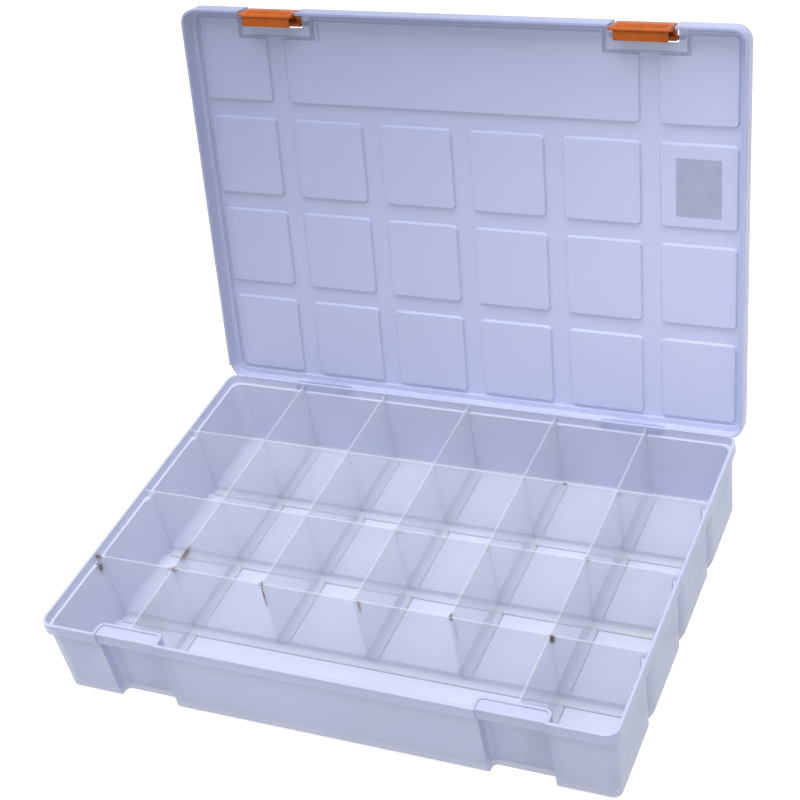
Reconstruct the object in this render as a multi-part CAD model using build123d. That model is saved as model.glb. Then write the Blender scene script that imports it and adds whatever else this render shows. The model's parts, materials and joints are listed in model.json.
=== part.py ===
from build123d import *
import os
from math import atan, cos, degrees, radians, sqrt

# Compartment storage box with a hinged lid and two snap latches.
# Frame: X to the right, Y to the rear, Z up. The origin is the centre of the face it stands on.
# Sizes are in millimetres.

# Tray
tray_width = 376.0
tray_depth = 263.0
tray_height = 58.5
wall = 2.0
floor_thickness = 2.2
wall_lean = 1.6            # how far each wall leans in between the rim and the floor
foot_radius = 3.0          # rounding between walls and floor, outside
floor_fillet = 3.5         # rounding between walls and floor, inside
rim_overhang = 2.2         # rim face out past the wall under it
rim_band = 8.0             # height of the rim band
rim_skin = 2.0             # thickness of the rim band
rim_corner_radius = 8.0
rim_edge_radius = 0.6

# Compartments
columns = 6
end_cell_width = 61.0      # from the rim's face to the outermost column dividers
rows = 4
end_cell_depth = 66.0      # from the rim's face to the outermost row dividers
divider_top = 1.4
divider_foot = 2.2
divider_fillet = 4.0
divider_drop = 0.5         # divider edges below the rim
groove_width = 20.0        # outside groove in the wall where a divider meets it
groove_radius = 20.0

# Latch bays in the tray's front wall: a channel under a shelf with a catch band
bay_inboard = 1.5          # bay's middle inboard of the outermost column divider
channel_width = 42.0
channel_depth = 7.4        # behind the front wall's face
channel_radius = 3.0
shelf_drop = 1.0           # shelf below the rim's top
shelf_thickness = 2.0
catch_step = 1.2           # catch band's face behind the rim's face
catch_drop = 0.5           # catch band's lower edge below the rim band's

# Lid
lid_height = 5.0           # lid's outer face above the rim
lid_plate = 2.0
lid_gap = 0.3              # between the lid and the rim, all round
skirt = 1.5
skirt_drop = 9.5           # skirt's free edge below the rim's top, in front and at the sides
lid_edge_radius = 2.0
border = 3.0               # flat between the rim's face and the dish, all round
dish_radius = 5.0
panel_rise = 2.0
panel_margin = 2.0         # groove between the border and the panels
panel_gap_x = 12.0
panel_gap_y = 11.2
panel_radius = 3.5
panel_slope = 22.0         # degrees that panel edges lean
open_angle = 102.0

# Latches
latch_width = 37.0
latch_notch = 41.0
latch_notch_depth = 11.0   # notch's rear wall behind the rim's front face
latch_notch_radius = 1.5
latch_skin = 1.8
latch_edge_radius = 1.6
latch_gap = 0.4            # between the latch's plate and the catch band
latch_pivot_back = 7.5     # pivot behind the rim's front face
latch_barrel_radius = 2.2
latch_pin_radius = 1.4
latch_pin_clearance = 0.06
latch_pin_seat = 3.0       # how deep each pin sits in the lid
notch_wall = 5.0           # lid between a latch notch and the dish
hook_gap = 0.8             # below the catch band
hook_reach = 7.2           # hook tip behind the rim's front face
hook_fall = 1.5            # slope on the hook, so that it swings clear of the band
hook_tip = 1.3             # thickness of the hook at its tip
hook_width = 34.0
ear_width = 40.0           # plate's lower edge, with an ear at each end
ear_height = 1.8
ear_set_in = 0.5           # ears behind the plate's face and above its lower edge
grip_ribs = 3
grip_rib_radius = 0.6
grip_rib_pitch = 2.6

# Hinges
hinge_from_side = 73.0     # hinge's middle from the side of the rim
hinge_barrel_length = 30.0
hinge_barrel_radius = 2.8
hinge_pin_radius = 1.6
hinge_pin_clearance = 0.08
hinge_lug = 6.0            # thickness of a bracket lug
hinge_side_gap = 0.4
hinge_drop = 7.0           # hinge axis below the rim's top

# Label
label_width = 28.7
label_length = 37.3
label_thickness = 0.2
label_back = 0.8           # label's middle behind the panel's middle

# Levels and places that follow from the sizes above
rim_low = tray_height - rim_band
slope = wall_lean / rim_low
wall_taper = degrees(atan(slope))
shelf_top = tray_height - shelf_drop
catch_low = rim_low - catch_drop
divider_height = tray_height - divider_drop
front = -tray_depth / 2
rear = tray_depth / 2
column_pitch = (tray_width - 2 * end_cell_width) / (columns - 2)
row_pitch = (tray_depth - 2 * end_cell_depth) / (rows - 2)
column_lines = [(i - columns / 2) * column_pitch for i in range(1, columns)]
row_lines = [(j - rows / 2) * row_pitch for j in range(1, rows)]
latch_x = column_lines[-1] - bay_inboard
groove_depth = groove_radius - sqrt(groove_radius**2 - groove_width**2 / 4)
hinge_x = tray_width / 2 - hinge_from_side
hinge_y = rear + hinge_barrel_radius + hinge_side_gap
hinge_z = tray_height - hinge_drop
pivot_y = front + latch_pivot_back
pivot_z = tray_height + (lid_gap + lid_height) / 2
plate_inner = front + catch_step - latch_gap
plate_outer = plate_inner - latch_skin
hook_top = catch_low - hook_gap
hook_low = hook_top - hook_fall - hook_tip
lid_top = tray_height + lid_height
border_low = tray_height + lid_gap
dish_floor = lid_top - lid_plate
panel_face = dish_floor - panel_rise
past = 1.0                 # how far a cutting shape runs past what it cuts


def inset(z):
    """How far the walls' outer faces stand in from the rim's face at height z."""
    return rim_overhang + (rim_low - z) * slope


def block(x0, x1, y0, y1, z0, z1):
    """A box between two corners."""
    return Pos((x0 + x1) / 2, (y0 + y1) / 2, (z0 + z1) / 2) * Box(x1 - x0, y1 - y0, z1 - z0)


def drafted_block(step_in, z0, z1):
    """A rounded block inside the walls, leaning with them, step_in behind their outer faces."""
    edge = inset(z1) + step_in
    outline = RectangleRounded(tray_width - 2 * edge, tray_depth - 2 * edge, rim_corner_radius - rim_overhang / 2)
    lean = Vector(0, 0, -1)
    return extrude(Pos(0, 0, z1) * outline, amount=z1 - z0, dir=lean, taper=wall_taper)


def rim_block(step_in, z0, z1):
    """A straight rounded block, step_in behind the rim's face."""
    radius = rim_corner_radius - step_in
    outline = RectangleRounded(tray_width - 2 * step_in, tray_depth - 2 * step_in, radius)
    return extrude(Pos(0, 0, z0) * outline, amount=z1 - z0)


def leaning(outline, z0, z1):
    """Extrudes an outline drawn for the front wall at height z0 up along that wall."""
    height = z1 - z0
    return extrude(Pos(0, 0, z0) * outline, amount=height * sqrt(1 + slope**2), dir=Vector(0, -slope, 1))


def front_bay(centre, width, back, radius):
    """Outline of a bay that opens to the front and ends in rounded corners at the back."""
    length = back - front + 2 * rim_corner_radius
    return Pos(centre, back - length / 2) * RectangleRounded(width, length, radius)


def channel_shape(centre, grow, z0, z1):
    """The latch channel in the front wall, grown by the wall where it shows inside."""
    back = front + inset(z0) + channel_depth + grow
    outline = front_bay(centre, channel_width + 2 * grow, back, channel_radius + grow)
    return leaning(outline, z0, z1)


def groove_face(step_in):
    """Two round cell corners meeting at a divider, drawn at the front wall's outer face."""
    radius = groove_radius - step_in
    corner = Circle(radius)
    offset_y = groove_radius
    strip = Pos(0, (groove_depth + step_in) / 2) * Rectangle(groove_width, groove_depth + step_in + 2 * past)
    left = Pos(-groove_width / 2, offset_y) * corner
    right = Pos(groove_width / 2, offset_y) * corner
    return strip - left - right


def wall_grooves(step_in, z0, z1):
    """The grooves in both side walls, or with a step the ridges that they leave inside."""
    shapes = []
    for turn in (-90, 90):
        for y in row_lines:
            outline = Pos(y, -tray_width / 2 + inset(z0)) * groove_face(step_in)
            shapes.append(Rot(0, 0, turn) * leaning(outline, z0, z1))
    return shapes


def make_cavity():
    """The space inside the tray, without its dividers."""
    shoulder = rim_low + wall
    space = drafted_block(wall, floor_thickness, shoulder)
    space = fillet(space.faces().sort_by(Axis.Z)[0].edges(), floor_fillet)
    for ridge in wall_grooves(wall, 0, shoulder + past):
        space -= ridge
    space += rim_block(rim_skin, shoulder, tray_height + past)
    for side in (-1, 1):
        space -= channel_shape(side * latch_x, wall, 0, tray_height + 2 * past)
    return space


def make_tray(cavity):
    """Tray shell with its rim band, latch bays and wall grooves."""
    shell = drafted_block(0, 0, rim_low)
    shell = fillet(shell.faces().sort_by(Axis.Z)[0].edges(), foot_radius)
    rim = rim_block(0, rim_low, tray_height)
    shell += fillet(rim.faces().sort_by(Axis.Z)[-1].edges(), rim_edge_radius)
    for groove in wall_grooves(0, -past, rim_low):
        shell -= groove
    catch_face = front + catch_step
    catch_back = catch_face + rim_skin
    for side in (-1, 1):
        centre = side * latch_x
        half = channel_width / 2
        shell += block(centre - half - wall, centre + half + wall, catch_face, catch_back, catch_low, rim_low)
        catch = block(centre - half, centre + half, catch_face, catch_back, catch_low, tray_height)
        shell -= channel_shape(centre, 0, -past, shelf_top - shelf_thickness) - catch
        shell -= block(centre - half, centre + half, front - past, catch_face, catch_low - past, tray_height + past)
        shelf = front_bay(centre, channel_width, front + rim_overhang + channel_depth, channel_radius)
        shell -= extrude(Pos(0, 0, shelf_top) * shelf, amount=shelf_drop + past)
    return shell - cavity


def divider_section():
    """Section of a divider: thin round edge on top, drafted faces and filleted foot."""
    foot_z = floor_thickness
    knee_z = foot_z + divider_fillet
    knee = divider_foot / 2
    toe = knee + divider_fillet
    tip = divider_top / 2
    shoulder_z = divider_height - tip
    turn = divider_fillet * (1 - cos(radians(45)))
    edges = [
        Line((-toe, foot_z), (toe, foot_z)),
        ThreePointArc((toe, foot_z), (knee + turn, foot_z + turn), (knee, knee_z)),
        Line((knee, knee_z), (tip, shoulder_z)),
        ThreePointArc((tip, shoulder_z), (0, divider_height), (-tip, shoulder_z)),
        Line((-tip, shoulder_z), (-knee, knee_z)),
        ThreePointArc((-knee, knee_z), (-knee - turn, foot_z + turn), (-toe, foot_z)),
    ]
    return make_face(edges)


def make_row_divider(y, cavity):
    """One divider across the whole tray."""
    section = Plane.YZ.offset(-tray_width / 2) * divider_section()
    return extrude(Pos(0, y, 0) * section, amount=tray_width) & cavity


def make_column_divider(x, y0, y1, cavity, row_dividers):
    """One divider between two rows' dividers, or between a row's divider and a wall."""
    section = Pos(x, y1 - divider_top / 2, 0) * (Plane.XZ * divider_section())
    piece = extrude(section, amount=y1 - y0 - divider_top) & cavity
    for row_divider in row_dividers:
        piece -= row_divider
    return piece


def make_hinge_lug(x):
    """A lug on the tray's rear rim, with a bore for a hinge pin of the lid."""
    half = hinge_lug / 2
    low = hinge_z - hinge_barrel_radius
    high = hinge_z + hinge_barrel_radius
    turn = Pos(x, hinge_y, hinge_z) * Rot(0, 90, 0)
    lug = turn * Cylinder(hinge_barrel_radius, hinge_lug) + block(x - half, x + half, rear, hinge_y, low, high)
    return lug - turn * Cylinder(hinge_pin_radius + hinge_pin_clearance, hinge_lug + 2 * past)


def make_hinge_arm(x):
    """Barrel with pins, the plate up to the lid's border, and a heel that stops the open lid at the rim."""
    half = hinge_barrel_length / 2
    heel = hinge_y - rear - lid_gap
    turn = Pos(x, hinge_y, hinge_z) * Rot(0, 90, 0)
    arm = turn * Cylinder(hinge_barrel_radius, hinge_barrel_length)
    arm += turn * Cylinder(hinge_pin_radius, hinge_barrel_length + 2 * (hinge_side_gap + hinge_lug))
    plate_front = rear + lid_gap + skirt
    plate_rear = 2 * hinge_y - plate_front
    arm += block(x - half, x + half, plate_front, plate_rear, hinge_z, lid_top - lid_edge_radius)
    arm += Pos(x, hinge_y, hinge_z) * Rot(open_angle, 0, 0) * block(-half, half, -heel, 0, -heel, 0)
    return arm


def lid_outline(grow):
    """Rounded outline of the lid, grown past the rim's face."""
    radius = rim_corner_radius + grow
    return RectangleRounded(tray_width + 2 * grow, tray_depth + 2 * grow, radius)


def notch_surround(centre, grow, z0, z1):
    """The part of the border that runs back round a latch notch."""
    half = latch_notch / 2 + notch_wall + grow
    back = front + latch_notch_depth + notch_wall + grow
    return block(centre - half, centre + half, front - past, back, z0, z1)


def make_dish():
    """The recess inside the lid's border."""
    outline = RectangleRounded(tray_width - 2 * border, tray_depth - 2 * border, dish_radius)
    space = extrude(Pos(0, 0, border_low - past) * outline, amount=dish_floor - border_low + past)
    for side in (-1, 1):
        space -= notch_surround(side * latch_x, 0, border_low - 2 * past, dish_floor + past)
    return space


def panel_spans():
    """Left, right, front and rear of each raised panel."""
    edge = border + panel_margin
    side = tray_width / 2 - edge
    gap_x = panel_gap_x / 2
    gap_y = panel_gap_y / 2
    xs = [-side] + column_lines + [side]
    ys = [front + edge] + row_lines + [rear - edge]
    spans = []
    for j in range(rows):
        y0 = ys[j] + (gap_y if j > 0 else 0)
        y1 = ys[j + 1] - (gap_y if j < rows - 1 else 0)
        cuts = [0, 1, columns - 1, columns] if j == 0 else list(range(columns + 1))
        for a, b in zip(cuts, cuts[1:]):
            x0 = xs[a] + (gap_x if a > 0 else 0)
            x1 = xs[b] - (gap_x if b < columns else 0)
            spans.append((x0, x1, y0, y1))
    return spans


def panel_pad(span, shrink, z0, z1, reach):
    """One panel as a block whose edges lean in, upward or downward from z0 to z1."""
    x0, x1, y0, y1 = span
    outline = Pos((x0 + x1) / 2, (y0 + y1) / 2, z0)
    outline *= RectangleRounded(x1 - x0 - 2 * shrink, y1 - y0 - 2 * shrink, panel_radius)
    direction = Vector(0, 0, 1 if z1 > z0 else -1)
    pad = extrude(outline, amount=abs(z1 - z0), dir=direction, taper=panel_slope)
    for side in (-1, 1):
        low = min(z0, z1) - past
        pad -= notch_surround(side * latch_x, reach, low, max(z0, z1) + past)
    return pad


def make_lid():
    """Lid shell in its closed place: border, skirt, dish, raised panels and latch notches.

    Behind, the skirt ends at the hinge axis, so that it swings clear of the rim band.
    """
    low = tray_height - skirt_drop
    lid_rear = rear + lid_gap + skirt
    shell = extrude(Pos(0, 0, low) * lid_outline(lid_gap + skirt), amount=lid_top - low)
    shell = fillet(shell.faces().sort_by(Axis.Z)[-1].edges(), lid_edge_radius)
    shell -= extrude(Pos(0, 0, low - past) * lid_outline(lid_gap), amount=border_low - low + past)
    shell -= make_dish()
    for span in panel_spans():
        shell += panel_pad(span, 0, dish_floor, panel_face, panel_margin)
        shell -= panel_pad(span, lid_plate, lid_top, panel_face + lid_plate, panel_margin + lid_plate)
    for side in (-1, 1):
        centre = side * latch_x
        notch = front_bay(centre, latch_notch, front + latch_notch_depth, latch_notch_radius)
        shell -= extrude(Pos(0, 0, low - past) * notch, amount=lid_top - low + 2 * past)
        pin_length = latch_notch + 2 * latch_pin_seat
        seat = Cylinder(latch_pin_radius + latch_pin_clearance, pin_length)
        shell -= Pos(centre, pivot_y, pivot_z) * Rot(0, 90, 0) * seat
        hinge_half = hinge_barrel_length / 2 + 2 * hinge_side_gap + hinge_lug
        lug_clear = hinge_z + hinge_barrel_radius + hinge_side_gap
        station = side * hinge_x
        shell -= block(station - hinge_half, station + hinge_half, rear, lid_rear + past, low - past, lug_clear)
    shell -= block(-tray_width, tray_width, rear - rim_corner_radius, lid_rear + past, low - past, hinge_z)
    return shell


def latch_sections():
    """Sections of a latch in its locked place: the flange with the plate, and the hook."""
    tip = front + hook_reach
    corners = [
        (pivot_y, lid_top),
        (plate_outer, lid_top),
        (plate_outer, hook_low),
        (plate_inner, hook_low),
        (plate_inner, lid_top - latch_skin),
        (pivot_y, lid_top - latch_skin),
    ]
    plate = Polygon(*corners, align=None)
    plate = fillet(plate.vertices().group_by(Axis.X)[0], latch_edge_radius)
    plate += Pos(pivot_y, pivot_z) * Circle(latch_barrel_radius)
    corners = [
        (plate_inner, hook_low),
        (tip, hook_low),
        (tip, hook_low + hook_tip),
        (plate_inner, hook_top),
    ]
    return plate, Polygon(*corners, align=None)


def latch_cheek():
    """Web at each end of a latch, between its flange and its plate."""
    top = lid_top - latch_skin / 2
    low = shelf_top + latch_gap
    corners = [
        (pivot_y, top),
        (plate_inner, top),
        (plate_inner, low),
        (plate_inner + latch_skin, low),
        (pivot_y, pivot_z),
    ]
    return Polygon(*corners, align=None)


def make_latch(x):
    """One latch in its locked place on the closed lid."""
    half = latch_width / 2
    plate, hook = latch_sections()
    latch = extrude(Plane.YZ.offset(x - half) * plate, amount=latch_width)
    latch += extrude(Plane.YZ.offset(x - hook_width / 2) * hook, amount=hook_width)
    for start in (x - half, x + half - latch_skin):
        latch += extrude(Plane.YZ.offset(start) * latch_cheek(), amount=latch_skin)
    pin_length = latch_notch + 2 * (latch_pin_seat - latch_pin_clearance)
    latch += Pos(x, pivot_y, pivot_z) * Rot(0, 90, 0) * Cylinder(latch_pin_radius, pin_length)
    ear_low = hook_low + ear_set_in
    ear_y = plate_outer + ear_set_in
    latch += block(x - ear_width / 2, x + ear_width / 2, ear_y, plate_inner, ear_low, ear_low + ear_height)
    for k in range(grip_ribs):
        z = hook_top + k * grip_rib_pitch
        rib = Cylinder(grip_rib_radius, latch_width - 2 * latch_skin)
        latch += Pos(x, plate_outer, z) * Rot(0, 90, 0) * rib
    return latch


def make_label():
    """Bare sticker on the inner face of a lid panel, in the closed place."""
    second_row = [span for span in panel_spans() if span[2] > row_lines[0]]
    x0, x1, y0, y1 = max(second_row, key=lambda span: (-span[2], span[0]))
    place = Pos((x0 + x1) / 2, (y0 + y1) / 2 + label_back, panel_face - label_thickness / 2)
    return place * Box(label_width, label_length, label_thickness)


def opened(shape):
    """Swings a piece of the closed lid about the hinge axis to its open place."""
    to_axis = Pos(0, -hinge_y, -hinge_z)
    return Pos(0, hinge_y, hinge_z) * Rot(-open_angle, 0, 0) * to_axis * shape


def divider_nodes(cavity):
    """Name and solid of each divider."""
    row_names = ["front", "middle", "rear"]
    row_dividers = [make_row_divider(y, cavity) for y in row_lines]
    nodes = {}
    for name, piece in zip(row_names, row_dividers):
        nodes["row_divider_" + name] = piece
    ys = [front] + row_lines + [rear]
    for j in range(rows):
        lines = [column_lines[0], column_lines[-1]] if j == 0 else column_lines
        for x in lines:
            number = column_lines.index(x) + 1
            piece = make_column_divider(x, ys[j], ys[j + 1], cavity, row_dividers)
            nodes["column_divider_row%d_line%d" % (j + 1, number)] = piece
    return nodes


def all_nodes():
    """Every node of the box in its rest pose, with the lid open."""
    cavity = make_cavity()
    nodes = {"tray_shell": make_tray(cavity)}
    nodes.update(divider_nodes(cavity))
    nodes["lid_shell"] = opened(make_lid())
    nodes["lid_label"] = opened(make_label())
    lug_step = hinge_barrel_length / 2 + hinge_side_gap + hinge_lug / 2
    for side, name in ((-1, "left"), (1, "right")):
        station = side * hinge_x
        nodes["hinge_lug_" + name + "_outer"] = make_hinge_lug(station + side * lug_step)
        nodes["hinge_lug_" + name + "_inner"] = make_hinge_lug(station - side * lug_step)
        nodes["hinge_arm_" + name] = opened(make_hinge_arm(station))
        nodes["latch_" + name] = opened(make_latch(side * latch_x))
    return nodes


os.makedirs("parts", exist_ok=True)
for node, shape in all_nodes().items():
    export_step(shape, "parts/" + node + ".step")
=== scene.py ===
"""Looks of a compartment storage box: frosted plastic, orange snap latches and a bare sticker."""

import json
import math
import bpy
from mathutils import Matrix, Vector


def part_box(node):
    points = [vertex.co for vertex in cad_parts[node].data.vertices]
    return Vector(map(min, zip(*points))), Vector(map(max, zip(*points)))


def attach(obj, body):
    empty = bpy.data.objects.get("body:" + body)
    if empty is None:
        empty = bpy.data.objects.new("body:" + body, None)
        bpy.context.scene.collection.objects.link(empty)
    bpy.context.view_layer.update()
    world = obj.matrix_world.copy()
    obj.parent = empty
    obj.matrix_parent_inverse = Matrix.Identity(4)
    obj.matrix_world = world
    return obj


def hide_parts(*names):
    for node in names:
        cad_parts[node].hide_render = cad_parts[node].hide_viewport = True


bl_info = {
    "name": "Compartment Storage Box",
    "version": (1, 0, 0),
    "blender": (4, 5, 0),
    "location": "View3D > Sidebar > Storage Box",
    "description": "Builds the finishes, latches and sticker of a divided plastic box with a hinged lid",
    "category": "Object",
}

import bmesh
import bpy
from bpy.props import FloatProperty, FloatVectorProperty, IntProperty, PointerProperty
from mathutils import Matrix, Vector

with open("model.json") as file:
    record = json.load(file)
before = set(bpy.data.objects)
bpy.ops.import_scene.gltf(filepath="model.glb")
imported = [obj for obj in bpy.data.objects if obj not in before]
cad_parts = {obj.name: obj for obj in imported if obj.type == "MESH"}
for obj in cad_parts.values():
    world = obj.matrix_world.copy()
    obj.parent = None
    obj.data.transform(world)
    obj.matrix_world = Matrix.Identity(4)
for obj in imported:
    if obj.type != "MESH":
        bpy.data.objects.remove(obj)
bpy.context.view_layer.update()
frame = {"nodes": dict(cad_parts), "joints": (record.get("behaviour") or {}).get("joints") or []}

JOINTS = {joint["name"]: joint for joint in frame["joints"]}
HINGE = Vector(JOINTS["lid_hinge"]["pos_m"])
OPEN_ANGLE = math.radians(JOINTS["lid_hinge"]["range_deg"][1])
SIDES = ("left", "right")

# The front face and the top of the tray's rim, in metres
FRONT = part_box("tray_shell")[0].y
RIM_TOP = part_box("tray_shell")[1].z

# Levels, places and sizes of a latch on the closed lid, in metres, as the CAD model has them,
# but for the hook, which is set back here and slopes less
LID_TOP = RIM_TOP + 0.0050
SHELF_TOP = RIM_TOP - 0.0010
PIVOT_Y = FRONT + 0.0075
PIVOT_Z = RIM_TOP + 0.00265
PLATE_INNER = FRONT + 0.0008
PLATE_OUTER = FRONT - 0.0010
PLATE_SKIN = 0.0018
HOOK_TOP = RIM_TOP - 0.0093
HOOK_LOW = HOOK_TOP - 0.0028
HOOK_TIP_Y = FRONT + 0.0072
HOOK_SET_BACK = 0.0009
HOOK_SLOPE = 0.0008
HOOK_WIDTH = 0.034
LATCH_WIDTH = 0.037
EAR_WIDTH = 0.040
EAR_HEIGHT = 0.0018
EAR_SET_IN = 0.0005
SHELF_GAP = 0.0004
BARREL_RADIUS = 0.0022
PIN_RADIUS = 0.0014
PIN_LENGTH = 0.0469

# The painted shade along the edges falls above this height only, in metres, so that the lower corners of
# the cells stay plain
EDGES_FROM = 0.044

# Old specks in the tray, and dried washes on the dividers of the first line:
# place, reach along x, y and z in metres, and strength
SPECKS = (
    ((-0.1835, -0.0655, 0.0575), (0.0030, 0.0045, 0.0060), 1.0),
    ((-0.1832, -0.0680, 0.0500), (0.0035, 0.0030, 0.0090), 0.9),
    ((-0.1270, -0.0500, 0.0570), (0.0018, 0.0120, 0.0070), 0.9),
    ((-0.1270, -0.0660, 0.0575), (0.0060, 0.0030, 0.0030), 0.8),
    ((-0.0642, -0.0645, 0.0570), (0.0020, 0.0030, 0.0040), 1.0),
    ((-0.0635, -0.0668, 0.0480), (0.0012, 0.0025, 0.0150), 1.0),
    ((0.0035, -0.0666, 0.0540), (0.0016, 0.0030, 0.0090), 0.8),
    ((0.0640, -0.0640, 0.0565), (0.0024, 0.0030, 0.0050), 1.0),
    ((0.0665, -0.0680, 0.0470), (0.0014, 0.0040, 0.0160), 0.6),
    ((0.1285, -0.0665, 0.0555), (0.0028, 0.0030, 0.0060), 1.0),
    ((0.0659, -0.0035, 0.0565), (0.0028, 0.0028, 0.0040), 0.9),
    ((0.0035, -0.0010, 0.0570), (0.0018, 0.0020, 0.0030), 0.7),
    ((0.1285, 0.0020, 0.0565), (0.0030, 0.0030, 0.0040), 0.8),
    ((0.0923, 0.0643, 0.0575), (0.0034, 0.0020, 0.0030), 0.9),
    ((0.1291, 0.0630, 0.0550), (0.0022, 0.0028, 0.0060), 0.9),
    ((0.0560, -0.0470, 0.0030), (0.0016, 0.0016, 0.0020), 0.7),
)
WASHES = (
    ((-0.1270, -0.0950, 0.0450), (0.0050, 0.0320, 0.0300), 0.34),
    ((-0.1270, -0.0560, 0.0520), (0.0040, 0.0160, 0.0140), 0.34),
)

# The camera's place in metres, its turn, tilt and roll in degrees, and the width of the picture, the focal
# length and the middle of the view in pixels of that picture
CAMERA_PLACE = (0.422770, -0.689172, 0.747548)
CAMERA_TURN = 27.918
CAMERA_TILT = 38.804
CAMERA_ROLL = 10.400
PICTURE = 800.0
FOCAL_LENGTH = 1675.72
VIEW_MIDDLE = (465.0, 465.0)


class FrostedPlasticSettings(bpy.types.PropertyGroup):
    # Painted shade: the lid's own bluer tone, kept darker than the tray and darkest at its upper left
    lid_colour: FloatVectorProperty(
        name="Lid Colour",
        description="Milky tone of the lid and hinges",
        subtype="COLOR",
        size=3,
        min=0.0,
        max=1.0,
        default=(0.30, 0.35, 0.60),
    )
    # Painted light: the lid shades into this paler colour towards its lower right corner
    lid_painted_light_colour: FloatVectorProperty(
        name="Lid Painted Light Colour",
        description="Painted light that makes the lid paler towards its lower right corner",
        subtype="COLOR",
        size=3,
        min=0.0,
        max=1.0,
        default=(0.60, 0.65, 0.92),
    )
    tray_colour: FloatVectorProperty(
        name="Tray Colour",
        description="Milky tone of the tray",
        subtype="COLOR",
        size=3,
        min=0.0,
        max=1.0,
        default=(0.62, 0.66, 0.87),
    )
    # Painted light: the dividers are paler than the tray, standing in for light that passes through the
    # thin plastic
    divider_painted_light_colour: FloatVectorProperty(
        name="Divider Painted Light Colour",
        description="Milky tone of the thin dividers",
        subtype="COLOR",
        size=3,
        min=0.0,
        max=1.0,
        default=(0.86, 0.90, 1.0),
    )
    clouds: FloatProperty(
        name="Clouds",
        description="How much faint clouds in the plastic darken it",
        subtype="FACTOR",
        min=0.0,
        max=0.5,
        default=0.05,
    )
    # Painted shade: the darker look of clear plastic along its rounded edges
    edge_shade_colour: FloatVectorProperty(
        name="Edge Shade Colour",
        description="Painted shade along the rounded edges",
        subtype="COLOR",
        size=3,
        min=0.0,
        max=1.0,
        default=(0.33, 0.35, 0.47),
    )
    wall_solidity: FloatProperty(
        name="Wall Solidity",
        description="How much each face of the tray, lid and hinges hides of what lies behind it",
        subtype="FACTOR",
        min=0.1,
        max=1.0,
        default=0.68,
    )
    divider_solidity: FloatProperty(
        name="Divider Solidity",
        description="How much each face of a divider hides of what lies behind it",
        subtype="FACTOR",
        min=0.1,
        max=1.0,
        default=0.30,
    )
    roughness: FloatProperty(
        name="Roughness",
        description="Softness of the gloss",
        subtype="FACTOR",
        min=0.05,
        max=1.0,
        default=0.32,
    )
    edge_radius: FloatProperty(
        name="Edge Radius",
        description="Rounding of the moulded edges",
        subtype="DISTANCE",
        unit="LENGTH",
        min=0.0001,
        max=0.002,
        default=0.0006,
    )
    speck_colour: FloatVectorProperty(
        name="Speck Colour",
        description="Tone of the old specks at the dividers",
        subtype="COLOR",
        size=3,
        min=0.0,
        max=1.0,
        default=(0.16, 0.10, 0.06),
    )
    wash_colour: FloatVectorProperty(
        name="Wash Colour",
        description="Tone of the dried washes on the dividers",
        subtype="COLOR",
        size=3,
        min=0.0,
        max=1.0,
        default=(0.42, 0.34, 0.24),
    )


class LatchSettings(bpy.types.PropertyGroup):
    colour: FloatVectorProperty(
        name="Colour",
        description="Tone of the latches",
        subtype="COLOR",
        size=3,
        min=0.0,
        max=1.0,
        default=(0.46, 0.098, 0.008),
    )
    roughness: FloatProperty(
        name="Roughness",
        description="Softness of the gloss",
        subtype="FACTOR",
        min=0.05,
        max=1.0,
        default=0.38,
    )
    rib_count: IntProperty(
        name="Grip Ribs",
        description="Number of ribs that a finger pulls on",
        min=1,
        max=6,
        default=3,
    )
    rib_pitch: FloatProperty(
        name="Rib Pitch",
        description="Distance between two grip ribs",
        subtype="DISTANCE",
        unit="LENGTH",
        min=0.001,
        max=0.005,
        default=0.0026,
    )
    rib_radius: FloatProperty(
        name="Rib Radius",
        description="Radius of a grip rib",
        subtype="DISTANCE",
        unit="LENGTH",
        min=0.0002,
        max=0.001,
        default=0.00058,
    )


class StickerSettings(bpy.types.PropertyGroup):
    colour: FloatVectorProperty(
        name="Colour",
        description="Tone of the bare film",
        subtype="COLOR",
        size=3,
        min=0.0,
        max=1.0,
        default=(0.47, 0.50, 0.68),
    )
    solidity: FloatProperty(
        name="Solidity",
        description="How much of the lid the film hides",
        subtype="FACTOR",
        min=0.1,
        max=1.0,
        default=0.5,
    )


class StageSettings(bpy.types.PropertyGroup):
    key_power: FloatProperty(
        name="Key Power",
        description="Strength of the main soft lamp, overhead",
        unit="POWER",
        min=0.0,
        default=60.0,
    )
    fill_power: FloatProperty(
        name="Fill Power",
        description="Strength of the weak soft lamp in front",
        unit="POWER",
        min=0.0,
        default=1.5,
    )
    sky: FloatProperty(
        name="Sky",
        description="Strength of the even light from all round",
        min=0.0,
        default=0.49,
    )


def new_material(name):
    """A material with an empty node tree, its tree, a surface shader and a source of object coordinates."""
    material = bpy.data.materials.new(name)
    material.use_nodes = True
    tree = material.node_tree
    tree.nodes.clear()
    output = tree.nodes.new("ShaderNodeOutputMaterial")
    shader = tree.nodes.new("ShaderNodeBsdfPrincipled")
    tree.links.new(shader.outputs["BSDF"], output.inputs["Surface"])
    coordinates = tree.nodes.new("ShaderNodeTexCoord")
    return material, tree, shader, coordinates.outputs["Object"]


def feed(tree, socket, value):
    """Gives a node's input a link or a plain value."""
    if isinstance(value, bpy.types.NodeSocket):
        tree.links.new(value, socket)
    else:
        socket.default_value = value


def added(tree, kind, values):
    """A new node of one kind, with the named inputs fed."""
    node = tree.nodes.new(kind)
    for name, value in values.items():
        feed(tree, node.inputs[name], value)
    return node


def noise(tree, place, scale, detail, roughness=0.5, distortion=0.0):
    """A smooth random pattern. A larger scale makes it finer."""
    shape = {"Scale": scale, "Detail": detail, "Roughness": roughness, "Distortion": distortion}
    return added(tree, "ShaderNodeTexNoise", {"Vector": place, **shape}).outputs["Fac"]


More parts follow.
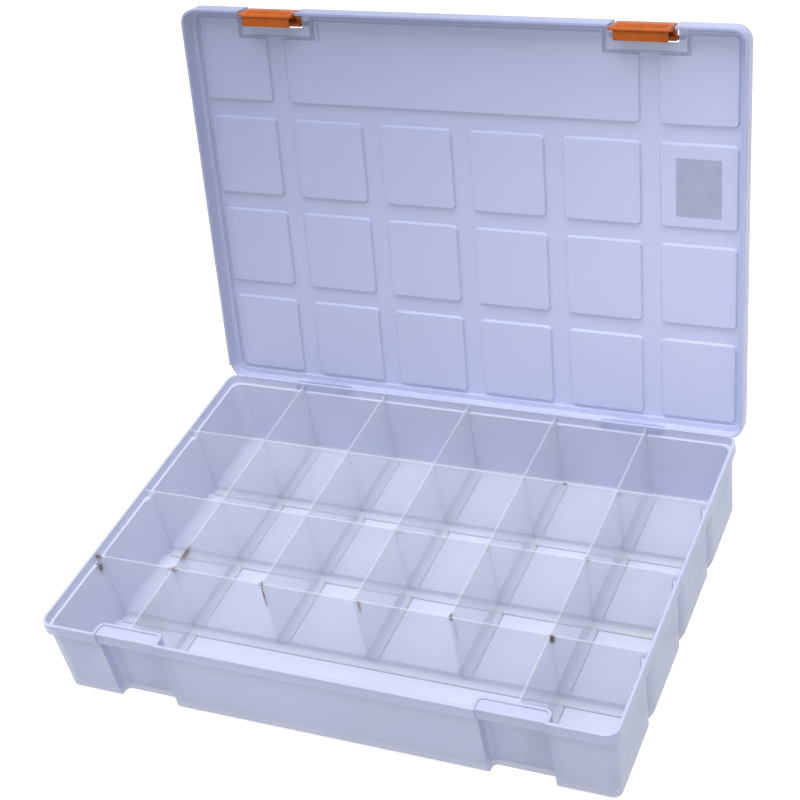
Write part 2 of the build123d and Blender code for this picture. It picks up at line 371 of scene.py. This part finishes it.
def ranged(tree, value, low, high, to_low=0.0, to_high=1.0):
    """Eases a value over from one range into another."""
    ranges = {"From Min": low, "From Max": high, "To Min": to_low, "To Max": to_high}
    node = added(tree, "ShaderNodeMapRange", {"Value": value, **ranges})
    node.interpolation_type = "SMOOTHSTEP"
    return node.outputs["Result"]


def math_node(tree, operation, *values):
    node = tree.nodes.new("ShaderNodeMath")
    node.operation = operation
    for socket, value in zip(node.inputs, values):
        feed(tree, socket, value)
    return node.outputs["Value"]


def vector_node(tree, operation, *values):
    node = tree.nodes.new("ShaderNodeVectorMath")
    node.operation = operation
    for socket, value in zip(node.inputs, values):
        feed(tree, socket, value)
    return node.outputs["Value" if operation in ("LENGTH", "DOT_PRODUCT") else "Vector"]


def mixed(tree, amount, first, second):
    """A colour between two others, each a link or three plain numbers."""
    node = tree.nodes.new("ShaderNodeMix")
    node.data_type = "RGBA"
    feed(tree, node.inputs["Factor"], amount)
    for name, value in (("A", first), ("B", second)):
        plain = not isinstance(value, bpy.types.NodeSocket)
        feed(tree, node.inputs[name], (*value, 1.0) if plain else value)
    return node.outputs["Result"]


def rounded_normal(tree, radius):
    """The normal of a surface whose edges are rounded."""
    node = added(tree, "ShaderNodeBevel", {"Radius": radius})
    node.samples = 4
    return node.outputs["Normal"]


def edge_mask(tree, normal):
    """1 along rounded edges, where their normal turns away from the flat surface's, else 0."""
    flat = tree.nodes.new("ShaderNodeNewGeometry").outputs["Normal"]
    agreement = math_node(tree, "ABSOLUTE", vector_node(tree, "DOT_PRODUCT", normal, flat))
    return ranged(tree, agreement, 0.80, 0.97, 1.0, 0.0)


def bump(tree, shader, normal, height, strength, distance):
    """Raises the shader's surface by a pattern, on top of a normal."""
    values = {"Strength": strength, "Distance": distance, "Height": height, "Normal": normal}
    tree.links.new(added(tree, "ShaderNodeBump", values).outputs["Normal"], shader.inputs["Normal"])


def opened(point):
    """A point of the closed lid, swung about the hinges to where the open lid has it."""
    arm = Vector(point) - HINGE
    cos, sin = math.cos(OPEN_ANGLE), math.sin(OPEN_ANGLE)
    return HINGE + Vector((arm.x, arm.y * cos + arm.z * sin, arm.z * cos - arm.y * sin))


def mesh_object(name, mesh, material):
    """A new object in the scene with one mesh and one material."""
    mesh.materials.clear()
    mesh.materials.append(material)
    made = bpy.data.objects.new(name, mesh)
    bpy.context.scene.collection.objects.link(made)
    return made


def plain_copy(source, name):
    """The evaluated shape of an object as a plain mesh. The object is then deleted."""
    evaluated = source.evaluated_get(bpy.context.evaluated_depsgraph_get())
    mesh = bpy.data.meshes.new_from_object(evaluated)
    mesh.name = name
    bpy.data.objects.remove(source)
    return mesh


def dress(node, material):
    """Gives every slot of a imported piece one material."""
    for material_slot in frame["nodes"][node].material_slots:
        material_slot.material = material


def frosted_plastic(name, values, tone, solidity, edge_shade_strength):
    """Milky plastic with faint clouds, rounded edges made a little darker by painted shade, and a fine
    frost.
    """
    edge_fade = 0.004
    material, tree, shader, place = new_material(name)
    clouds = ranged(tree, noise(tree, place, scale=9.0, detail=2.0), 0.35, 0.65)
    colour = mixed(tree, clouds, tone, tuple(part * (1.0 - values.clouds) for part in tone))
    normal = rounded_normal(tree, values.edge_radius)
    height = added(tree, "ShaderNodeSeparateXYZ", {"Vector": place}).outputs["Z"]
    # Painted shade along the rounded edges, above EDGES_FROM only
    high = ranged(tree, height, EDGES_FROM, EDGES_FROM + edge_fade, 0.0, edge_shade_strength)
    painted_edge_shade = math_node(tree, "MULTIPLY", edge_mask(tree, normal), high)
    colour = mixed(tree, painted_edge_shade, colour, values.edge_shade_colour)
    tree.links.new(colour, shader.inputs["Base Color"])
    gloss = ranged(tree, noise(tree, place, scale=60.0, detail=4.0), 0.3, 0.7, -0.03, 0.04)
    tree.links.new(math_node(tree, "ADD", gloss, values.roughness), shader.inputs["Roughness"])
    shader.inputs["Alpha"].default_value = solidity
    shader.inputs["IOR"].default_value = 1.49
    frost = noise(tree, place, scale=1400.0, detail=2.0)
    bump(tree, shader, normal, frost, strength=0.08, distance=0.0002)
    return material, tree, shader, place, colour


def lid_plastic(values):
    """The lid's plastic, with painted light that makes it paler towards its lower right corner, as the
    photograph shows it.
    """
    towards_corner = (1.0, 0.0, -1.4)
    material, tree, shader, place, colour = frosted_plastic(
        "lid_plastic", values, values.lid_colour, values.wall_solidity, edge_shade_strength=0.10
    )
    # Painted light: the lid grows paler towards its lower right corner
    painted_light_towards_corner = ranged(tree, vector_node(tree, "DOT_PRODUCT", place, towards_corner), -0.60, 0.05)
    tree.links.new(mixed(tree, painted_light_towards_corner, colour, values.lid_painted_light_colour), shader.inputs["Base Color"])
    return material


def used_plastic(name, values, tone, solidity, edge_shade_strength):
    """Plastic of the tray or its dividers, with the old specks and the dried washes."""
    wash_cover = 0.5
    full_cover = 0.95
    material, tree, shader, place, colour = frosted_plastic(name, values, tone, solidity, edge_shade_strength)
    streaks = ranged(tree, noise(tree, place, scale=60.0, detail=3.0), 0.2, 0.7, 0.4, 1.0)
    wash = math_node(tree, "MULTIPLY", spots(tree, place, WASHES), streaks)
    crumbs = ranged(tree, noise(tree, place, scale=650.0, detail=4.0, roughness=0.6), 0.36, 0.50)
    specks = math_node(tree, "MULTIPLY", spots(tree, place, SPECKS), crumbs)
    colour = mixed(tree, wash, colour, values.wash_colour)
    colour = mixed(tree, specks, colour, values.speck_colour)
    tree.links.new(colour, shader.inputs["Base Color"])
    cover = math_node(tree, "MAXIMUM", math_node(tree, "MULTIPLY", wash, wash_cover), specks)
    denser = math_node(tree, "MULTIPLY_ADD", cover, full_cover - solidity, solidity)
    tree.links.new(denser, shader.inputs["Alpha"])
    return material


def spots(tree, place, listed):
    """A mask that fades out round each listed place."""
    core = 0.35
    total = None
    for centre, reach, strength in listed:
        away = vector_node(tree, "DIVIDE", vector_node(tree, "SUBTRACT", place, centre), reach)
        near = ranged(tree, vector_node(tree, "LENGTH", away), core, 1.0, strength, 0.0)
        total = near if total is None else math_node(tree, "MAXIMUM", total, near)
    return total


def latch_plastic(values):
    """Orange plastic, a little darker in patches and paler along its worn edges."""
    darker = 0.82
    paler = 1.25
    lift = 0.05
    edge_wear = 0.5
    material, tree, shader, place = new_material("orange_plastic")
    patches = ranged(tree, noise(tree, place, scale=90.0, detail=4.0), 0.3, 0.7)
    dark = tuple(part * darker for part in values.colour)
    pale = tuple(min(1.0, part * paler + lift) for part in values.colour)
    normal = rounded_normal(tree, 0.0003)
    worn = math_node(tree, "MULTIPLY", edge_mask(tree, normal), edge_wear)
    colour = mixed(tree, worn, mixed(tree, patches, values.colour, dark), pale)
    tree.links.new(colour, shader.inputs["Base Color"])
    gloss = ranged(tree, noise(tree, place, scale=300.0, detail=3.0), 0.3, 0.7, -0.07, 0.10)
    tree.links.new(math_node(tree, "ADD", gloss, values.roughness), shader.inputs["Roughness"])
    shader.inputs["Specular IOR Level"].default_value = 0.22
    bump(tree, shader, normal, noise(tree, place, scale=900.0, detail=3.0), strength=0.12, distance=0.0003)
    return material


def sticker_film(values):
    """Thin clouded film, slightly wavy."""
    paler = 1.08
    material, tree, shader, place = new_material("sticker_film")
    patches = ranged(tree, noise(tree, place, scale=70.0, detail=4.0, distortion=0.4), 0.35, 0.65)
    pale = tuple(min(1.0, part * paler) for part in values.colour)
    tree.links.new(mixed(tree, patches, values.colour, pale), shader.inputs["Base Color"])
    shader.inputs["Roughness"].default_value = 0.5
    shader.inputs["Alpha"].default_value = values.solidity
    normal = rounded_normal(tree, 0.0002)
    bump(tree, shader, normal, noise(tree, place, scale=220.0, detail=4.0), strength=0.3, distance=0.0003)
    return material


def arc(centre, radius, start, end, steps):
    """Points on an arc in the plane of y and z, with the angles in degrees from +y."""
    points = []
    for k in range(steps + 1):
        angle = math.radians(start + (end - start) * k / steps)
        points.append((centre[0] + radius * math.cos(angle), centre[1] + radius * math.sin(angle)))
    return points


def plate_outline():
    """Section of a latch's flange, barrel and plate, with its rounded corners."""
    outer = 0.0016
    inner = 0.0007
    root = 0.0004
    outline = arc((PIVOT_Y, PIVOT_Z), BARREL_RADIUS, -165, 80, 16)
    outline += arc((PIVOT_Y - root, LID_TOP - root), root, 60, 90, 2)
    outline += arc((PLATE_OUTER + outer, LID_TOP - outer), outer, 90, 180, 8)
    outline += arc((PLATE_OUTER + outer, HOOK_LOW + outer), outer, 180, 270, 8)
    outline += [(PLATE_INNER, HOOK_LOW)]
    outline += arc((PLATE_INNER + inner, LID_TOP - PLATE_SKIN - inner), inner, 180, 90, 5)
    return outline


def hook_outline():
    """Section of the hook, set back from the plate's lower edge, with a round tip and a thicker root."""
    round_tip = 0.0005
    root_reach = 0.0005
    root_fall = 0.0001
    root_rise = 0.0004
    low = HOOK_LOW + HOOK_SET_BACK
    high = HOOK_TOP - HOOK_SLOPE
    inside = PLATE_INNER - PLATE_SKIN / 2
    return [
        (inside, low),
        *arc((HOOK_TIP_Y - round_tip, low + round_tip), round_tip, 270, 360, 5),
        *arc((HOOK_TIP_Y - round_tip, high - round_tip), round_tip, 0, 75, 5),
        (PLATE_INNER + root_reach, HOOK_TOP - root_fall),
        (PLATE_INNER, HOOK_TOP + root_rise),
        (inside, HOOK_TOP + root_rise),
    ]


def cheek_outline():
    """Section of the web at each end, between the flange and the plate."""
    inside = PLATE_INNER - PLATE_SKIN / 2
    low = SHELF_TOP + SHELF_GAP
    return [
        (PIVOT_Y, LID_TOP - PLATE_SKIN / 2),
        (inside, LID_TOP - PLATE_SKIN / 2),
        (inside, low),
        (PLATE_INNER + PLATE_SKIN, low),
        (PIVOT_Y, PIVOT_Z),
    ]


def ear_outline():
    """Section of the lug at each end of the plate's lower edge."""
    hairline = 0.0001
    low = HOOK_LOW + EAR_SET_IN
    outer = PLATE_OUTER + EAR_SET_IN
    inner = PLATE_INNER - hairline
    return [(outer, low), (inner, low), (inner, low + EAR_HEIGHT), (outer, low + EAR_HEIGHT)]


def prism(name, outline, x0, x1):
    """An object that runs from x0 to x1 with one outline of y and z for its section."""
    made = bmesh.new()
    rings = [[made.verts.new((x, y, z)) for y, z in outline] for x in (x0, x1)]
    made.faces.new(rings[0])
    made.faces.new(rings[1])
    for k in range(len(outline)):
        following = (k + 1) % len(outline)
        made.faces.new((rings[0][k], rings[0][following], rings[1][following], rings[1][k]))
    bmesh.ops.recalc_face_normals(made, faces=made.faces)
    mesh = bpy.data.meshes.new(name)
    made.to_mesh(mesh)
    made.free()
    solid = bpy.data.objects.new(name, mesh)
    bpy.context.scene.collection.objects.link(solid)
    return solid


def fused(name, solids):
    """One closed mesh from solids that overlap."""
    body = solids[0]
    for other in solids[1:]:
        union = body.modifiers.new("union", "BOOLEAN")
        union.operation = "UNION"
        union.solver = "EXACT"
        union.object = other
    mesh = plain_copy(body, name)
    for other in solids[1:]:
        bpy.data.objects.remove(other)
    return mesh


def latch_mesh(name, x):
    """A whole latch but for its ribs, on the closed lid."""
    sides = 24
    hairline = 0.00005  # keeps the ends of the cheeks and the plate out of one plane
    pin_outline = arc((PIVOT_Y, PIVOT_Z), PIN_RADIUS, 0, 360 - 360 / sides, sides - 1)
    solids = [
        prism(part, outline, x - length / 2, x + length / 2)
        for part, outline, length in (
            ("latch_plate", plate_outline(), LATCH_WIDTH),
            ("latch_hook", hook_outline(), HOOK_WIDTH),
            ("latch_ears", ear_outline(), EAR_WIDTH),
            ("latch_pins", pin_outline, PIN_LENGTH),
        )
    ]
    half = LATCH_WIDTH / 2
    for start in (x - half + hairline, x + half - PLATE_SKIN - hairline):
        solids.append(prism("latch_cheek", cheek_outline(), start, start + PLATE_SKIN))
    return fused(name, solids)


def rib_stations(tree, given):
    """Points in a column, one for each rib."""
    stations = tree.nodes.new("GeometryNodeMeshLine")
    stations.mode = "OFFSET"
    step = added(tree, "ShaderNodeCombineXYZ", {"Z": given["Pitch"]}).outputs["Vector"]
    feed(tree, stations.inputs["Count"], given["Count"])
    feed(tree, stations.inputs["Start Location"], given["Start"])
    feed(tree, stations.inputs["Offset"], step)
    return stations.outputs["Mesh"]


def single_rib(tree, given):
    """A round bar along x that tapers off at both ends."""
    half = 0.5
    ends = []
    for share in (-half, half):
        reach = math_node(tree, "MULTIPLY", given["Length"], share)
        ends.append(added(tree, "ShaderNodeCombineXYZ", {"X": reach}).outputs["Vector"])
    line = added(tree, "GeometryNodeCurvePrimitiveLine", {"Start": ends[0], "End": ends[1]})
    points = added(tree, "GeometryNodeResampleCurve", {"Curve": line.outputs["Curve"], "Count": 41})
    along = tree.nodes.new("GeometryNodeSplineParameter").outputs["Factor"]
    from_end = math_node(tree, "PINGPONG", along, half)
    swell = ranged(tree, from_end, -0.01, 0.05)
    ring = added(tree, "GeometryNodeCurvePrimitiveCircle", {"Resolution": 16, "Radius": 1.0})
    tube = {
        "Curve": points.outputs["Curve"],
        "Profile Curve": ring.outputs["Curve"],
        "Scale": math_node(tree, "MULTIPLY", swell, given["Radius"]),
        "Fill Caps": True,
    }
    return added(tree, "GeometryNodeCurveToMesh", tube).outputs["Mesh"]


def rib_tree(material):
    """Node tree that sets tapered ribs in a column: their number, pitch, radius, length and first place."""
    tree = bpy.data.node_groups.new("grip_ribs", "GeometryNodeTree")
    tree.interface.new_socket("Geometry", in_out="OUTPUT", socket_type="NodeSocketGeometry")
    for label, kind in (
        ("Count", "NodeSocketInt"),
        ("Pitch", "NodeSocketFloat"),
        ("Radius", "NodeSocketFloat"),
        ("Length", "NodeSocketFloat"),
        ("Start", "NodeSocketVector"),
    ):
        tree.interface.new_socket(label, in_out="INPUT", socket_type=kind)
    given = tree.nodes.new("NodeGroupInput").outputs
    repeated = {"Points": rib_stations(tree, given), "Instance": single_rib(tree, given)}
    ribs = added(tree, "GeometryNodeInstanceOnPoints", repeated).outputs["Instances"]
    real = added(tree, "GeometryNodeRealizeInstances", {"Geometry": ribs}).outputs["Geometry"]
    finish = added(tree, "GeometryNodeSetMaterial", {"Geometry": real, "Material": material})
    added(tree, "NodeGroupOutput", {"Geometry": finish.outputs["Geometry"]})
    return tree


def rib_mesh(name, tree, values, x):
    """The grip ribs of one latch on the closed lid."""
    carrier = bpy.data.objects.new(name, bpy.data.meshes.new(name))
    bpy.context.scene.collection.objects.link(carrier)
    modifier = carrier.modifiers.new("ribs", "NODES")
    modifier.node_group = tree
    chosen = {
        "Count": values.rib_count,
        "Pitch": values.rib_pitch,
        "Radius": values.rib_radius,
        "Length": LATCH_WIDTH - 2 * PLATE_SKIN,
        "Start": (x, PLATE_OUTER, HOOK_TOP),
    }
    for socket in tree.interface.items_tree:
        if socket.in_out == "INPUT":
            modifier[socket.identifier] = chosen[socket.name]
    return plain_copy(carrier, name)


def swing_open(mesh):
    """Moves a mesh of the closed lid to where the open lid has it."""
    for vertex in mesh.vertices:
        vertex.co = opened(vertex.co)
    mesh.update()


def shade_round(mesh, limit_degrees):
    """Smooth shading, but for edges sharper than the limit."""
    mesh.shade_smooth()
    mesh.set_sharp_from_angle(angle=math.radians(limit_degrees))


class BOX_OT_frosted_parts(bpy.types.Operator):
    """Give the tray, dividers, lid and hinges their frosted plastic"""

    bl_idname = "box.frosted_parts"
    bl_label = "Frosted Parts"

    def execute(self, context):
        values = context.scene.box_plastic
        lid = lid_plastic(values)
        tray = used_plastic(
            "tray_plastic", values, values.tray_colour, values.wall_solidity, edge_shade_strength=0.20
        )
        # The dividers' paler colour is painted light
        divider = used_plastic(
            "divider_plastic", values, values.divider_painted_light_colour, values.divider_solidity, edge_shade_strength=0.55
        )
        for node in frame["nodes"]:
            if node.startswith(("lid_shell", "hinge")):
                dress(node, lid)
            elif node.startswith("tray"):
                dress(node, tray)
            elif node.startswith(("row_divider", "column_divider")):
                dress(node, divider)
        return {"FINISHED"}


class BOX_OT_latches(bpy.types.Operator):
    """Build both orange latches with their grip ribs"""

    bl_idname = "box.latches"
    bl_label = "Latches"

    def execute(self, context):
        values = context.scene.box_latch
        material = latch_plastic(values)
        tree = rib_tree(material)
        for side in SIDES:
            node = "latch_" + side
            low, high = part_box(node)
            x = (low[0] + high[0]) / 2
            for name, mesh in (
                ("latch_body_" + side, latch_mesh("latch_body_" + side, x)),
                ("latch_ribs_" + side, rib_mesh("latch_ribs_" + side, tree, values, x)),
            ):
                swing_open(mesh)
                shade_round(mesh, 30)
                piece = mesh_object(name, mesh, material)
                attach(piece, node)
                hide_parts(node)
        return {"FINISHED"}


class BOX_OT_sticker(bpy.types.Operator):
    """Stick a thin bare film on the inside of the lid"""

    bl_idname = "box.sticker"
    bl_label = "Sticker"

    def execute(self, context):
        dress("lid_label", sticker_film(context.scene.box_sticker))
        return {"FINISHED"}


class BOX_OT_stage(bpy.types.Operator):
    """Set the pale floor, soft lamps and camera"""

    bl_idname = "box.stage"
    bl_label = "Stage"

    def execute(self, context):
        values = context.scene.box_stage
        scene = context.scene
        scene.view_settings.view_transform = "Standard"
        make_floor()
        make_sky(values.sky)
        target = (0.0, 0.05, 0.08)
        add_lamp("key_lamp", (0.1, -0.3, 2.4), target, size=1.8, power=values.key_power)
        add_lamp("fill_lamp", (-0.6, -1.8, 1.0), target, size=1.4, power=values.fill_power)
        scene.camera = make_camera()
        return {"FINISHED"}


def seen_directly(tree):
    """1 for rays that come from the camera, from a gloss or through clear matter, else 0."""
    rays = tree.nodes.new("ShaderNodeLightPath")
    glossy = math_node(tree, "MAXIMUM", rays.outputs["Is Glossy Ray"], rays.outputs["Is Transmission Ray"])
    return math_node(tree, "MAXIMUM", rays.outputs["Is Camera Ray"], glossy)


def make_floor():
    """A pale matte floor that looks white from the camera and keeps the box's shadow."""
    reach = 6.0
    glow = 0.66
    pale = (0.52, 0.52, 0.52)
    darker = (0.50, 0.50, 0.50)
    mesh = bpy.data.meshes.new("floor")
    corners = [(-reach, -reach, 0), (reach, -reach, 0), (reach, reach, 0), (-reach, reach, 0)]
    mesh.from_pydata(corners, [], [(0, 1, 2, 3)])
    material, tree, shader, place = new_material("pale_floor")
    grain = ranged(tree, noise(tree, place, scale=14.0, detail=3.0), 0.3, 0.7)
    tree.links.new(mixed(tree, grain, pale, darker), shader.inputs["Base Color"])
    shader.inputs["Roughness"].default_value = 0.8
    shader.inputs["Emission Color"].default_value = (1.0, 1.0, 1.0, 1.0)
    shining = math_node(tree, "MULTIPLY", seen_directly(tree), glow)
    tree.links.new(shining, shader.inputs["Emission Strength"])
    mesh_object("floor", mesh, material)


def make_sky(strength):
    """Even light from all round. The camera sees it as plain white."""
    world = bpy.data.worlds.new("studio")
    bpy.context.scene.world = world
    world.use_nodes = True
    tree = world.node_tree
    tree.nodes.clear()
    lit = added(tree, "ShaderNodeBackground", {"Color": (0.97, 0.98, 1.0, 1.0), "Strength": strength})
    seen = added(tree, "ShaderNodeBackground", {"Color": (1.0, 1.0, 1.0, 1.0), "Strength": 1.0})
    mix = added(tree, "ShaderNodeMixShader", {"Fac": seen_directly(tree)})
    tree.links.new(lit.outputs["Background"], mix.inputs[1])
    tree.links.new(seen.outputs["Background"], mix.inputs[2])
    added(tree, "ShaderNodeOutputWorld", {"Surface": mix.outputs["Shader"]})


def add_lamp(name, place, target, size, power):
    """A soft square lamp that shines at the target and isn't seen itself."""
    lamp = bpy.data.lights.new(name, "AREA")
    lamp.shape = "SQUARE"
    lamp.size = size
    lamp.energy = power
    made = bpy.data.objects.new(name, lamp)
    made.location = place
    made.visible_camera = False
    aim = Vector(target) - made.location
    made.rotation_euler = aim.to_track_quat("-Z", "Y").to_euler()
    bpy.context.scene.collection.objects.link(made)


def make_camera():
    """A camera at the photograph's viewpoint: right of the box, looking down at it, slightly rolled."""
    turn = math.radians(CAMERA_TURN)
    tilt = math.radians(CAMERA_TILT)
    roll = math.radians(CAMERA_ROLL)
    ahead = Vector((-math.sin(turn) * math.cos(tilt), math.cos(turn) * math.cos(tilt), -math.sin(tilt)))
    level = Vector((math.cos(turn), math.sin(turn), 0.0))
    upright = ahead.cross(level)
    right = math.cos(roll) * level + math.sin(roll) * upright
    down = math.cos(roll) * upright - math.sin(roll) * level
    camera = bpy.data.cameras.new("photo_camera")
    camera.sensor_width = 36.0
    camera.lens = FOCAL_LENGTH / PICTURE * camera.sensor_width
    camera.shift_x = (PICTURE / 2 - VIEW_MIDDLE[0]) / PICTURE
    camera.shift_y = (VIEW_MIDDLE[1] - PICTURE / 2) / PICTURE
    made = bpy.data.objects.new("photo_camera", camera)
    axes = Matrix((right, -down, -ahead)).transposed()
    made.matrix_world = Matrix.Translation(CAMERA_PLACE) @ axes.to_4x4()
    bpy.context.scene.collection.objects.link(made)
    return made


class BOX_PT_panel(bpy.types.Panel):
    """List the settings of each part of the box above the operator that makes it"""

    bl_idname = "BOX_PT_panel"
    bl_label = "Storage Box"
    bl_space_type = "VIEW_3D"
    bl_region_type = "UI"
    bl_category = "Storage Box"

    def draw(self, context):
        for (name, group), operator in zip(SETTINGS, OPERATORS):
            part = self.layout.box()
            values = getattr(context.scene, name)
            for value in group.__annotations__:
                part.prop(values, value)
            part.operator(operator.bl_idname)


SETTINGS = (
    ("box_plastic", FrostedPlasticSettings),
    ("box_latch", LatchSettings),
    ("box_sticker", StickerSettings),
    ("box_stage", StageSettings),
)
OPERATORS = (BOX_OT_frosted_parts, BOX_OT_latches, BOX_OT_sticker, BOX_OT_stage)


def register():
    for name, group in SETTINGS:
        bpy.utils.register_class(group)
        setattr(bpy.types.Scene, name, PointerProperty(type=group))
    for cls in (*OPERATORS, BOX_PT_panel):
        bpy.utils.register_class(cls)


def unregister():
    for cls in reversed((*OPERATORS, BOX_PT_panel)):
        bpy.utils.unregister_class(cls)
    for name, group in reversed(SETTINGS):
        delattr(bpy.types.Scene, name)
        bpy.utils.unregister_class(group)


def main():
    """Makes the whole box and its stage."""
    register()
    bpy.ops.box.frosted_parts()
    bpy.ops.box.latches()
    bpy.ops.box.sticker()
    bpy.ops.box.stage()


if __name__ == "__main__":
    main()
